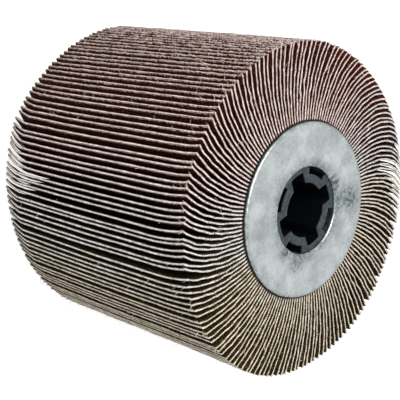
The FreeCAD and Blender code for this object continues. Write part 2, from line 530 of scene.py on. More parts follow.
@dataclass(frozen=True)
class GrainCoat(Finish):
    """Fused alumina grain in red-brown resin, electrostatically coated.

    The eye sees a dark maroon sandpaper, with specks of pale dust between the grains, worn
    down to pale cotton in a ragged band along the tip. The grain is drawn at twice its real
    size, which would be too fine to show. tip_dust is how far the dust makes the band ragged.
    The attribute worn is 1 along the tip.
    """

    name: str = "alumina_grain_coat"
    cotton: PaleCotton = PaleCotton()
    resin: str = "#64241B"
    grain: str = "#120302"
    dust: str = "#B38A80"
    grain_size: float = 0.45 * MM
    domes: Ramp = Ramp(0.0, 0.7, 1.0, 0.0)
    dust_clouds: Clouds = Clouds(0.7 * MM, 3.0, 0.75)
    dusty: Ramp = Ramp(0.61, 0.7, high=0.8)
    tip_dust: float = 1.9
    bare_tip: Ramp = Ramp(1.76, 1.92)
    relief: Relief = Relief(0.8, 0.2 * MM)
    roughness: float = 0.85
    gloss: float = 0.06

    def paint(self, tree: Tree, where: Socket) -> tuple[Socket, dict[str, Any]]:
        """Adds the grains, the dust between them and the bare band along the tip."""
        cells = {"Vector": where, "Scale": 1 / self.grain_size}
        grains = add_node(tree, "ShaderNodeTexVoronoi", cells).outputs["Distance"]
        height = add_node(tree, "ShaderNodeMapRange", self.domes.sockets(grains)).outputs["Result"]
        dust = add_node(tree, "ShaderNodeTexNoise", self.dust_clouds.sockets(where)).outputs["Fac"]
        tip = add_node(tree, "ShaderNodeAttribute", attribute_name="worn").outputs["Fac"]
        band = {0: dust, 1: self.tip_dust, 2: tip}
        ragged = add_node(tree, "ShaderNodeMath", band, operation="MULTIPLY_ADD").outputs["Value"]
        colour = layered(
            tree,
            self.grain,
            (height, None, self.resin),
            (dust, self.dusty, self.dust),
            (ragged, self.bare_tip, self.cotton.colour(tree, where)),
        )
        dull = {"Roughness": self.roughness, "Specular IOR Level": self.gloss}
        return height, {"Base Color": colour, **dull}


@dataclass(frozen=True)
class ClothBack(Finish):
    """Back of the abrasive cloth: woven cotton drill, sized with resin.

    The eye sees a dark olive weave, dulled by dust. It is drawn on the piece's own map, in
    millimetres of cloth, and thread_pitch is in millimetres too.
    """

    name: str = "sized_cotton_drill"
    thread: str = "#53431F"
    hollow: str = "#160F03"
    dust: str = "#94814F"
    thread_pitch: float = 0.7
    unevenness: float = 1.2
    unevenness_scale: float = 2.0
    dust_clouds: Clouds = Clouds(1.4 * MM, 4.0)
    dusty: Ramp = Ramp(0.56, 0.74, high=0.6)
    relief: Relief = Relief(0.5, 0.15 * MM)
    roughness: float = 0.85
    gloss: float = 0.08

    def paint(self, tree: Tree, where: Socket) -> tuple[Socket, dict[str, Any]]:
        """Adds the two sets of threads and the dust."""
        cloth = add_node(tree, "ShaderNodeUVMap", uv_map=FlapPack.CLOTH_MAP).outputs["UV"]
        threads = {
            "Vector": cloth,
            "Scale": WAVE / self.thread_pitch,
            "Distortion": self.unevenness,
            "Detail Scale": self.unevenness_scale,
        }
        warp, weft = (
            add_node(tree, "ShaderNodeTexWave", threads, bands_direction=way).outputs["Fac"]
            for way in ("X", "Y")
        )
        crossing = {0: warp, 1: weft}
        weave = add_node(tree, "ShaderNodeMath", crossing, operation="MULTIPLY").outputs["Value"]
        dust = add_node(tree, "ShaderNodeTexNoise", self.dust_clouds.sockets(where)).outputs["Fac"]
        colour = layered(
            tree, self.hollow, (weave, None, self.thread), (dust, self.dusty, self.dust)
        )
        dull = {"Roughness": self.roughness, "Specular IOR Level": self.gloss}
        return weave, {"Base Color": colour, **dull}


@dataclass(frozen=True)
class CloudedFinish(Finish):
    """A dull finish in two colours, mixed by the clouds that also give its relief."""

    name: str
    base: str
    patch: str
    clouds: Clouds
    patches: Ramp
    relief: Relief
    roughness: float

    def paint(self, tree: Tree, where: Socket) -> tuple[Socket, dict[str, Any]]:
        """Adds the clouds."""
        cloud = add_node(tree, "ShaderNodeTexNoise", self.clouds.sockets(where)).outputs["Fac"]
        colour = layered(tree, self.base, (cloud, self.patches, self.patch))
        return cloud, {"Base Color": colour, "Roughness": self.roughness}


# Loose cotton from the cut edges: off-white, soft, darker where grit sticks to it
COTTON_THREAD = CloudedFinish(
    name="loose_cotton_thread",
    base="#F6EEE4",
    patch="#A48F80",
    clouds=Clouds(2.0 * MM, 2.0),
    patches=Ramp(0.45, 0.65),
    relief=Relief(0.3, 0.05 * MM),
    roughness=0.95,
)

# Phenolic resin cast round the flaps' roots: dark brown, uneven, faintly glossy
CAST_RESIN = CloudedFinish(
    name="cast_phenolic_resin",
    base="#2E201A",
    patch="#4A372C",
    clouds=Clouds(3.0 * MM, 5.0),
    patches=Ramp(0.0, 1.0),
    relief=Relief(0.4, 0.4 * MM),
    roughness=0.6,
)


@dataclass(frozen=True)
class WoundPaper(Finish):
    """Kraft paper wound in a spiral and soaked in resin.

    The eye sees brown board with fibres and the faint slanting seams of its plies.
    """

    name: str = "wound_kraft_paper"
    board: str = "#8A6E50"
    seam: str = "#5D4733"
    seam_pitch: float = 38.0 * MM
    seam_waver: float = 0.4
    seam_line: Ramp = Ramp(0.93, 1.0)
    fibres: Clouds = Clouds(1.5 * MM, 4.0)
    fibre_share: float = 0.5
    relief: Relief = Relief(0.3, 0.1 * MM)
    roughness: float = 0.8

    def paint(self, tree: Tree, where: Socket) -> tuple[Socket, dict[str, Any]]:
        """Adds the seams and the fibres."""
        scale = WAVE / self.seam_pitch
        plies = {"Vector": where, "Scale": scale, "Distortion": self.seam_waver}
        seams = add_node(
            tree, "ShaderNodeTexWave", plies, bands_direction="DIAGONAL", wave_profile="SAW"
        ).outputs["Fac"]
        line = add_node(tree, "ShaderNodeMapRange", self.seam_line.sockets(seams)).outputs["Result"]
        fibres = add_node(tree, "ShaderNodeTexNoise", self.fibres.sockets(where)).outputs["Fac"]
        both = {0: fibres, 1: self.fibre_share, 2: line}
        dark = add_node(tree, "ShaderNodeMath", both, operation="MULTIPLY_ADD", use_clamp=True)
        colour = layered(tree, self.board, (dark.outputs["Value"], None, self.seam))
        return fibres, {"Base Color": colour, "Roughness": self.roughness}


@dataclass(frozen=True)
class ZincPlate(Finish):
    """Dull zinc plate on a pressed steel flange, barrel plated and handled.

    The eye sees a pale blue grey with a fine mottle, soft clouds and a few specks. It is
    painted darker round the bore and in a band just inside the rim, as painted shade. smudges
    are darker rub marks, each a place and a reach. The painted shade and the marks are patchy.
    """

    name: str
    rim_radius: float
    smudges: tuple[tuple[Place, float], ...] = ()
    bright: str = "#C8CFCE"
    dull: str = "#A0A8A8"
    # colour of the rub marks and specks, and of the painted shade round the bore and at the rim
    scuff_and_shade: str = "#59636A"
    clouds: Clouds = Clouds(8.0 * MM, 6.0, 0.62)
    mottle: Clouds = Clouds(0.9 * MM, 3.0, 0.7)
    mottle_share: float = 0.3
    brightness: Ramp = Ramp(0.38, 0.6)
    speckle: Clouds = Clouds(1.3 * MM, 3.0, 0.7)
    specks: Ramp = Ramp(0.66, 0.78, high=0.6)
    patchy: Ramp = Ramp(0.4, 0.6, low=0.25)
    # painted shade: darker round the bore's drawn-in mouth
    bore_shade: Ramp = Ramp(15.6 * MM, 19.5 * MM, 0.8, 0.0)
    # painted shade: width and strength of the darker band inside the rim
    rim_shade_width: float = 1.3 * MM
    rim_shade: float = 0.8
    relief: Relief = Relief(0.25, 0.25 * MM)
    roughness: Ramp = Ramp(0.0, 1.0, 0.3, 0.54)

    def paint(self, tree: Tree, where: Socket) -> tuple[Socket, dict[str, Any]]:
        """Adds the mottle, the specks, the stains and the painted shade, each with a share of its
        own.
        """
        clouds, mottle, speckle = (
            add_node(tree, "ShaderNodeTexNoise", pattern.sockets(where)).outputs["Fac"]
            for pattern in (self.clouds, self.mottle, self.speckle)
        )
        mixing = {0: self.mottle_share, 2: clouds, 3: mottle}
        mixed = add_node(tree, "ShaderNodeMix", mixing).outputs["Result"]
        flat = {0: where, 1: SQUARE_TO_AXIS}
        out = add_node(tree, "ShaderNodeVectorMath", flat, operation="MULTIPLY").outputs
        radius = add_node(
            tree, "ShaderNodeVectorMath", {0: out["Vector"]}, operation="LENGTH"
        ).outputs["Value"]
        # painted shade: a darker band just inside the rim
        rim_shade_ramp = Ramp(self.rim_radius - self.rim_shade_width, self.rim_radius, high=self.rim_shade)
        sources = [(radius, self.bore_shade), (radius, rim_shade_ramp)]
        for place, reach in self.smudges:
            both = {0: where, 1: place}
            apart = add_node(tree, "ShaderNodeVectorMath", both, operation="DISTANCE")
            sources.append((apart.outputs["Value"], Ramp(0.0, reach, 1.0, 0.0)))
        marks, patchy, rough, *stains_and_shade = (
            add_node(tree, "ShaderNodeMapRange", ramp.sockets(value)).outputs["Result"]
            for value, ramp in (
                (speckle, self.specks),
                (speckle, self.patchy),
                (mixed, self.roughness),
                *sources,
            )
        )
        # the rub marks and the painted shade at the bore and the rim all darken through marks
        for darkening in stains_and_shade:
            more = {0: darkening, 1: patchy, 2: marks}
            marks = add_node(
                tree, "ShaderNodeMath", more, operation="MULTIPLY_ADD", use_clamp=True
            ).outputs["Value"]
        colour = layered(
            tree, self.dull, (mixed, self.brightness, self.bright), (marks, None, self.scuff_and_shade)
        )
        return mixed, {"Base Color": colour, "Metallic": 1.0, "Roughness": rough}


@dataclass(frozen=True)
class MouldedNylon(Finish):
    """Dark glass-filled nylon, injection moulded.

    The eye sees a satin blue charcoal, dulled by a film of dust on the end face. Down the bore
    it is painted nearly black, as painted shade. end_face goes by the distance from the drum's
    middle.
    """

    name: str = "glass_filled_nylon"
    # painted shade: the nearly black colour down the bore
    bore: str = "#07090E"
    nylon: str = "#31373B"
    pale: str = "#4F585C"
    middle: float = 51.2 * MM
    end_face: Ramp = Ramp(49.7 * MM, 50.25 * MM)
    mottle: Clouds = Clouds(1.0 * MM, 4.0, 0.65)
    film: Ramp = Ramp(0.35, 0.68)
    relief: Relief = Relief(0.2, 0.1 * MM)
    roughness: float = 0.5
    gloss: float = 0.08

    def paint(self, tree: Tree, where: Socket) -> tuple[Socket, dict[str, Any]]:
        """Adds the film of dust on the end faces, and the painted shade down the bore, by the
        height.
        """
        mottle = add_node(tree, "ShaderNodeTexNoise", self.mottle.sockets(where)).outputs["Fac"]
        height = add_node(tree, "ShaderNodeSeparateXYZ", {"Vector": where}).outputs["Z"]
        off = add_node(tree, "ShaderNodeMath", {0: height, 1: self.middle}, operation="SUBTRACT")
        far = add_node(tree, "ShaderNodeMath", {0: off.outputs["Value"]}, operation="ABSOLUTE")
        face = layered(tree, self.nylon, (mottle, self.film, self.pale))
        # painted shade: below the end face the bore is coloured nearly black
        colour = layered(tree, self.bore, (far.outputs["Value"], self.end_face, face))
        dull = {"Roughness": self.roughness, "Specular IOR Level": self.gloss}
        return mottle, {"Base Color": colour, **dull}


# What changes round the drum


@dataclass(frozen=True)
class Bell:
    """An amount that is full in one direction round the drum and fades to both sides.

    It is the amount times exp(-((angle from the middle) / spread) to the power). A power over
    2 gives a flatter top. Directions are in degrees from +X.
    """

    middle: float
    spread: float
    amount: float
    power: float = 2.0

    def at(self, way: np.ndarray) -> np.ndarray:
        """The amount in each direction."""
        apart = np.abs((way - self.middle + FULL_TURN / 2) % FULL_TURN - FULL_TURN / 2)
        return self.amount * np.exp(-((apart / self.spread) ** self.power))


@dataclass(frozen=True)
class EndBell:
    """A bell that is full at one end of the drum and fades to nothing at a depth from it.

    Its share at a height is 1 - (distance from the end) / depth, to the power fade. An
    endless depth gives the same amount over the whole width.
    """

    end: End
    bell: Bell
    depth: float = math.inf
    fade: float = 2.0

    def at(self, way: np.ndarray, rows: np.ndarray) -> np.ndarray:
        """The amount in each direction at each height, given from the lowest to the highest."""
        edge = rows[-1] if self.end is End.FRONT else rows[0]
        share = np.clip(1 - np.abs(rows - edge) / self.depth, 0.0, 1.0) ** self.fade
        return self.bell.at(way)[:, None] * share


@dataclass(frozen=True)
class Parting:
    """A gap in the ring of flaps: the flaps that stand before it curl away from it.

    direction is where it opens, in degrees from +X. The extra curl falls to a third with each
    spread that a flap stands before it, and to a share called rear at the rear end.
    """

    direction: float
    spread: float
    extra: float
    rear: float = 1.0

    def at(self, way: np.ndarray, along: np.ndarray) -> np.ndarray:
        """The extra curl in degrees, by flap's direction and place from rear 0 to front 1."""
        strength = self.extra * np.exp(-((self.direction - way) % FULL_TURN) / self.spread)
        return strength[:, None] * (self.rear + (1 - self.rear) * along)


# Pieces


def dress(piece: bpy.types.Object, slot: Slot, *nodes: str) -> None:
    """Ties a piece to the frame and reports it.

    Args:
        piece: The finished object.
        slot: A material slot of the record; not used.
        *nodes: The frame's nodes that it stands for.
    """
    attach(piece, BODY)
    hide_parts(*nodes)
    log.info("%s: %d faces, for %s", piece.name, len(piece.data.polygons), ", ".join(nodes))


@dataclass
class FlapPack:
    """The ring of abrasive cloth flaps and the resin that holds their roots.

    Each flap's middle line leaves the bond along the radius and turns clockwise, seen from
    the front. What it has turned by at a share s of its reach is curl s, plus its bends times
    s cubed. Directions are round the axis from +X. Swells are shares of the thickness.
    """

    CLOTH_MAP = "Cloth"
    BAKE_MAP = "OFBake"
    NODE = "flap_pack"

    count: int = 158
    thickness: float = 0.76 * MM
    reach: float = 29.4 * MM
    bond_radius: float = 29.75 * MM
    buried: float = 0.4 * MM
    curl: float = 25.0
    wobble: float = 1.2
    wobble_waves: tuple[float, ...] = (0.2718, 0.3819)
    unevenness: float = 1.05
    lobes: tuple[Bell, ...] = (
        Bell(12.7, 33.0, 4.0),
        Bell(72.7, 12.0, -3.0),
        Bell(117.7, 12.0, 3.0),
        Bell(192.7, 20.0, 3.0),
        Bell(247.7, 12.0, -3.0),
        Bell(294.7, 20.0, -10.0),
    )
    partings: tuple[Parting, ...] = (
        Parting(178.8, 10.0, 5.2, 0.35),
        Parting(4.7, 3.5, 4.2),
        Parting(357.5, 3.5, 5.0),
        Parting(351.0, 4.5, 3.4),
        Parting(342.7, 3.5, 3.5),
        Parting(317.3, 5.0, 1.6),
        Parting(306.3, 5.0, 1.8),
        Parting(294.3, 5.0, 1.6),
    )
    bends: tuple[EndBell, ...] = (
        EndBell(End.REAR, Bell(170.0, 40.0, 22.0, 4.0), 9.0 * MM, 1.3),
        EndBell(End.REAR, Bell(176.0, 13.0, 3.6, 4.0), 50.0 * MM, 1.0),
        EndBell(End.REAR, Bell(151.0, 7.0, 6.0), 15.0 * MM),
        EndBell(End.REAR, Bell(140.0, 60.0, 6.0), 60.0 * MM),
        EndBell(End.FRONT, Bell(172.0, 24.0, 12.0), 16.0 * MM),
        EndBell(End.FRONT, Bell(120.0, 40.0, 5.0), 6.0 * MM),
        EndBell(End.FRONT, Bell(18.0, 38.0, 30.0, 3.0), 3.5 * MM, 1.0),
        EndBell(End.FRONT, Bell(342.0, 36.0, 12.0, 3.0)),
    )
    bend_strength: tuple[float, float] = (0.95, 1.05)
    scatter: EndBell = EndBell(End.REAR, Bell(146.0, 16.0, 4.5, 4.0), 22.0 * MM, 1.0)
    stretches: tuple[EndBell, ...] = (
        EndBell(End.REAR, Bell(76.0, 26.0, 1.7 * MM), 95.0 * MM, 1.0),
        EndBell(End.REAR, Bell(142.0, 18.0, 1.1 * MM), 30.0 * MM, 1.0),
        EndBell(End.REAR, Bell(5.0, 22.0, 1.3 * MM)),
        EndBell(End.FRONT, Bell(55.0, 16.0, -0.3 * MM), 60.0 * MM),
        EndBell(End.FRONT, Bell(235.0, 20.0, 0.9 * MM), 60.0 * MM),
        EndBell(End.FRONT, Bell(310.0, 25.0, -0.7 * MM), 60.0 * MM),
        EndBell(End.REAR, Bell(205.0, 20.0, -0.6 * MM), 60.0 * MM),
    )
    wave: float = 1.1
    wave_run: int = 14
    crimp: float = 0.22 * MM
    fray: float = 0.2 * MM
    tip_ridge: float = 0.14 * MM
    end_ridge: float = -0.03 * MM
    swell: float = 0.1
    tip_swell: tuple[float, float] = (0.1, 0.14)
    end_swell: float = 0.16
    swell_limits: tuple[float, float] = (0.75, 1.3)
    steps_along: int = 62
    steps_out: int = 18
    crowding: float = 0.7
    sharp: float = 55.0
    flaps_per_piece: int = 15
    seed: int = 11

    def directions(self) -> np.ndarray:
        """Direction of each flap's root, in degrees."""
        return FULL_TURN * np.arange(self.count) / self.count

    def curls(self, rows: np.ndarray, rng: np.random.Generator) -> np.ndarray:
        """How far each flap turns from root to tip at each row, in degrees.

        It is the common curl, plus each lobe's bell, plus what the flaps before a parting
        gain as they fold away from it, plus a small wave from flap to flap and what each
        flap has to itself.
        """
        way, number = self.directions(), np.arange(self.count)
        total = self.curl + sum(lobe.at(way) for lobe in self.lobes)
        for rate in self.wobble_waves:
            total += self.wobble * np.sin(2 * math.pi * rate * number) / len(self.wobble_waves)
        total += self.unevenness * rng.uniform(-1.0, 1.0, self.count)
        along = (rows - rows[0]) / (rows[-1] - rows[0])
        return total[:, None] + sum(parting.at(way, along) for parting in self.partings)

    def heights(self, low: float, high: float) -> np.ndarray:
        """Heights of the rows along a flap, closer together towards its ends.

        Row t lies at low + (high - low) (t - crowding sin(2 pi t) / (2 pi)), for t from 0
        to 1.
        """
        t = np.linspace(0.0, 1.0, self.steps_along + 1)
        return low + (high - low) * (t - self.crowding * np.sin(2 * math.pi * t) / (2 * math.pi))

    def bent(self, rows: np.ndarray, rng: np.random.Generator) -> np.ndarray:
        """Extra turn of each flap's outer edge at each row, in degrees.

        It is the sum of the bends, each a little stronger or weaker on every flap, plus the
        scatter times a random number, plus a slow wave along the edge.

        Args:
            rows: Heights of the rows.
            rng: The source of random numbers.

        Returns:
            One row of bends for each flap.
        """
        way = self.directions()
        total = self.wave / 2 * smooth_noise(rng, (self.count, len(rows)), self.wave_run)
        for bend in self.bends:
            total += bend.at(way, rows) * rng.uniform(*self.bend_strength, self.count)[:, None]
        return total + self.scatter.at(way, rows) * rng.uniform(-1.0, 1.0, self.count)[:, None]

    def middle_lines(self, turns: np.ndarray, reach: np.ndarray) -> tuple[np.ndarray, np.ndarray]:
        """Places on the flaps' middle surface.

        A step along the flap moves a share cos(turn) outwards and sin(turn) clockwise of its
        length, so the place is the running sum of those steps.

        Args:
            turns: Turn in radians, for each flap, row and step outwards.
            reach: Length from root to tip, for each flap and row.

        Returns:
            How far out from its root and how far clockwise each place lies.
        """
        step = reach[..., None] / self.steps_out
        out, clockwise = (
            np.pad(
                np.cumsum((wave[..., 1:] + wave[..., :-1]) / 2 * step, axis=-1),
                ((0, 0), (0, 0), (1, 0)),
            )
            for wave in (np.cos(turns), np.sin(turns))
        )
        return out, clockwise

    def halves(self, rows: int, rng: np.random.Generator) -> np.ndarray:
        """Half the thickness of every flap, by row and step outwards.

        It is a little uneven everywhere, and swells along the tip and at the two ends.
        """
        steps = self.steps_out + 1
        fluff, more = self.tip_swell
        swell = 1 + self.swell * smooth_noise(rng, (self.count, rows, steps), 2)
        swell[:, :, -1] += fluff + more * smooth_noise(rng, (self.count, rows), 2)
        swell[:, [0, -1]] += self.end_swell * np.abs(smooth_noise(rng, (self.count, 2, steps), 2))
        return self.thickness / 2 * np.clip(swell, *self.swell_limits)

    def placed(self, out: np.ndarray, clockwise: np.ndarray) -> np.ndarray:
        """X and Y, from how far out from its root and how far clockwise a place lies."""
        way = np.radians(self.directions())[:, None, None]
        radius = self.bond_radius + out
        x = radius * np.cos(way) + clockwise * np.sin(way)
        y = radius * np.sin(way) - clockwise * np.cos(way)
        return np.stack([x, y], axis=-1)

    def sections(self, low: float, high: float) -> tuple[np.ndarray, np.ndarray]:
        """Places of every flap's surface and of the middle line of its two cut ends.

        Round a flap's section go its counter-clockwise side from root to tip, the ridge of
        the tip, the clockwise side from tip to root and the middle of the root. The cut
        edges have a low ridge, are frayed by random amounts and are fluffed a little thicker
        than the cloth. The two ends are crimped, fully from a third of the reach outwards.

        Args:
            low: Height of the rear end.
            high: Height of the front end.

        Returns:
            Places by flap, row and point of the section, then places by flap, end and step.
        """
        rng = np.random.default_rng(self.seed)
        rows = self.heights(low, high)
        share = np.linspace(0.0, 1.0, self.steps_out + 1)
        bends = self.bent(rows, rng)
        curls = self.curls(rows, rng)
        turns = np.radians(curls[:, :, None] * share + bends[:, :, None] * share**3)
        way = self.directions()
        reach = self.reach + sum(stretch.at(way, rows) for stretch in self.stretches)
        out, clockwise = self.middle_lines(turns, reach)
        crimps = smooth_noise(rng, (self.count, 2, self.steps_out), 2)
        clockwise[:, [0, -1], 1:] += self.crimp * np.minimum(3 * share[1:], 1.0) * crimps
        frayed = self.fray * smooth_noise(rng, (self.count, len(rows), 3), 1)[..., 1:2]
        out[..., 0] -= self.buried
        half = self.halves(len(rows), rng)
        cos, sin = np.cos(turns), np.sin(turns)
        far, near = (
            self.placed(out - side * sin, clockwise + side * cos) for side in (-half, half)
        )
        add = self.tip_ridge + frayed
        tip = self.placed(
            out[..., -1:] + add * cos[..., -1:], clockwise[..., -1:] + add * sin[..., -1:]
        )
        root = self.placed(out[..., :1], clockwise[..., :1])
        flat = np.concatenate([far, tip, near[:, :, ::-1], root], axis=2)
        lift = self.fray * smooth_noise(rng, (self.count, 2, flat.shape[2]), 1)
        height = np.broadcast_to(rows[None, :, None], flat.shape[:3]).copy()
        height[:, 0] += np.abs(lift[:, 0])
        height[:, -1] -= np.abs(lift[:, 1])
        solid = np.concatenate([flat, height[..., None]], axis=-1)
        ends = (far[:, [0, -1]] + near[:, [0, -1]])[:, :, 1:-1] / 2
        proud = self.end_ridge + self.fray / 2 * smooth_noise(rng, ends.shape[:3], 1)
        level = np.array([low, high])[:, None] + np.array([-1.0, 1.0])[:, None] * proud
        return solid, np.concatenate([ends, level[..., None]], axis=-1)

    def layout(self) -> list[Patch]:
        """The patches of one flap: its wrapped side wall and its two cut ends.

        A flap's own map holds the far side, the tip, the near side and the root one above
        the other, with the cut ends beside them. The cut edges get more room than they have.
        """
        along, out = self.steps_along + 1, self.steps_out + 1
        width, reach, edge, gap = 100.0, self.reach / MM, 3.0, 1.0
        ring = 2 * out + 2
        walls = np.arange(along * ring).reshape(along, ring)
        closed = np.concatenate([walls, walls[:, :1]], axis=1)
        share = np.linspace(0.0, 1.0, out)
        top = 2 * (reach + edge)
        lift = np.concatenate(
            [share * reach, [reach + edge / 2], reach + edge + share * reach, [top - edge / 2, top]]
        )
        level = np.linspace(0.0, 1.0, along) * width + edge + gap
        where = np.stack(np.broadcast_arrays(level[:, None], lift[None, :]), axis=-1)
        size = np.array([width + 2 * (edge + gap), top])
        starts, stops = (0, out - 1, out + 1, 2 * out), (out, out + 2, 2 * out + 1, ring + 1)
        patches = [
            Patch(closed[:, a:b], where[:, a:b] / size, where[:, a:b], slot)
            for a, b, slot in zip(starts, stops, (0, 2, 1, 2))
        ]
        first = along * ring
        for end, row, start in ((0, 0, 0.0), (1, along - 1, size[0] - edge)):
            inner = first + end * (out - 2) + np.arange(out - 2)
            spine = np.concatenate([[walls[row, -1]], inner, [walls[row, out]]])
            strip = np.stack([walls[row, :out], spine, walls[row, out + 1 : -1][::-1]])
            strip = strip if end == 0 else strip[::-1]
            place = np.linspace(start, start + edge, 3)[None, :], (share * reach)[:, None]
            spots = np.stack(np.broadcast_arrays(*place), axis=-1)
            patches.append(Patch(strip.T, spots / size, spots, 2))
        return patches

    def marks(self) -> dict[str, np.ndarray]:
        """Two numbers for each vertex of one flap.

        across runs from 0 on the coated side to 1 on the cloth side. The cut ends have 0.5
        along their middle, and the tip's ridge has less, because the coat reaches further
        over the edge there. worn is 1 along the tip and 0 on the next line of points.
        """
        out, spines = self.steps_out + 1, 2 * (self.steps_out - 1)
        middle, ridge = 0.5, 0.42
        across = np.concatenate([np.zeros(out), [ridge], np.ones(out), [middle]])
        worn = np.zeros(len(across))
        worn[out - 1 : out + 2] = 1.0
        rows = self.steps_along + 1
        return {
            "across": np.append(np.tile(across, rows), np.full(spines, middle)),
            "worn": np.append(np.tile(worn, rows), np.zeros(spines)),
        }

    def build(self, materials: list[Material], resin: Material, cotton: Material) -> None:
        """Builds the flaps, a few to each piece, the bond and the threads.

        The bake map lays a piece's flaps out in three columns, each with a margin, and the
        cloth map shifts each flap's threads against the next one's.

        Args:
            materials: Grain coat, cloth back and cut edge.
            resin: The bond's material.
            cotton: The threads' material.
        """
        low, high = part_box(self.NODE)
        walls, ends = self.sections(low.z, high.z)
        patches, marks = self.layout(), self.marks()
        cells = [Patch.corners(patch.numbers) for patch in patches]
        faces = np.concatenate(cells)
        slots = np.concatenate([np.full(len(c), p.slot) for c, p in zip(cells, patches)])
        places = np.concatenate([Patch.corners(patch.places) for patch in patches])
        lengths = np.concatenate([Patch.corners(patch.lengths) for patch in patches])
        groups = np.array_split(np.arange(self.count), math.ceil(self.count / self.flaps_per_piece))
        columns, margin, shift = 3, 0.015, 131.0
        lines = math.ceil(max(map(len, groups)) / columns)
        for index, group in enumerate(groups, start=1):
            parts = [part[group].reshape(len(group), -1, 3) for part in (walls, ends)]
            points = np.concatenate(parts, axis=1)
            number = np.arange(len(group))
            wanted = faces[None] + number[:, None, None] * points.shape[1]
            piece = mesh_object(
                f"flaps_{index:02d}",
                points.reshape(-1, 3),
                wanted.reshape(-1, 4),
                materials,
                np.tile(slots, len(group)),
                self.sharp,
            )
            cell = np.stack([number % columns, number // columns], axis=1)[:, None, None, :]
            spread = (places * (1 - 2 * margin) + margin + cell) / np.array([columns, lines])
            shifted = lengths + shift * number[:, None, None, None]
            for name, values in ((self.CLOTH_MAP, shifted), (self.BAKE_MAP, spread)):
                layer = piece.data.uv_layers.new(name=name)
                layer.uv.foreach_set("vector", values.astype(np.float32).ravel())
            for name, values in marks.items():
                attribute = piece.data.attributes.new(name, "FLOAT", "POINT")
                attribute.data.foreach_set("value", np.tile(values, len(group)).astype(np.float32))
            dress(piece, Slot.CLOTH, self.NODE)
        self.build_bond(low.z, high.z, resin)
        Threads().build(walls, cotton)

    def build_bond(self, low: float, high: float, resin: Material) -> None:
        """Builds the ring of resin between the core and the flaps' roots."""
        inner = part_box("core_tube")[1].x
        profile = np.array(
            [(self.bond_radius, low), (self.bond_radius, high), (inner, high), (inner, low)]
        )
        points, faces = turned(profile, 2 * self.count)
        ring = mesh_object("resin_bond", points, faces[:, ::-1], [resin])
        dress(ring, Slot.CLOTH, self.NODE)


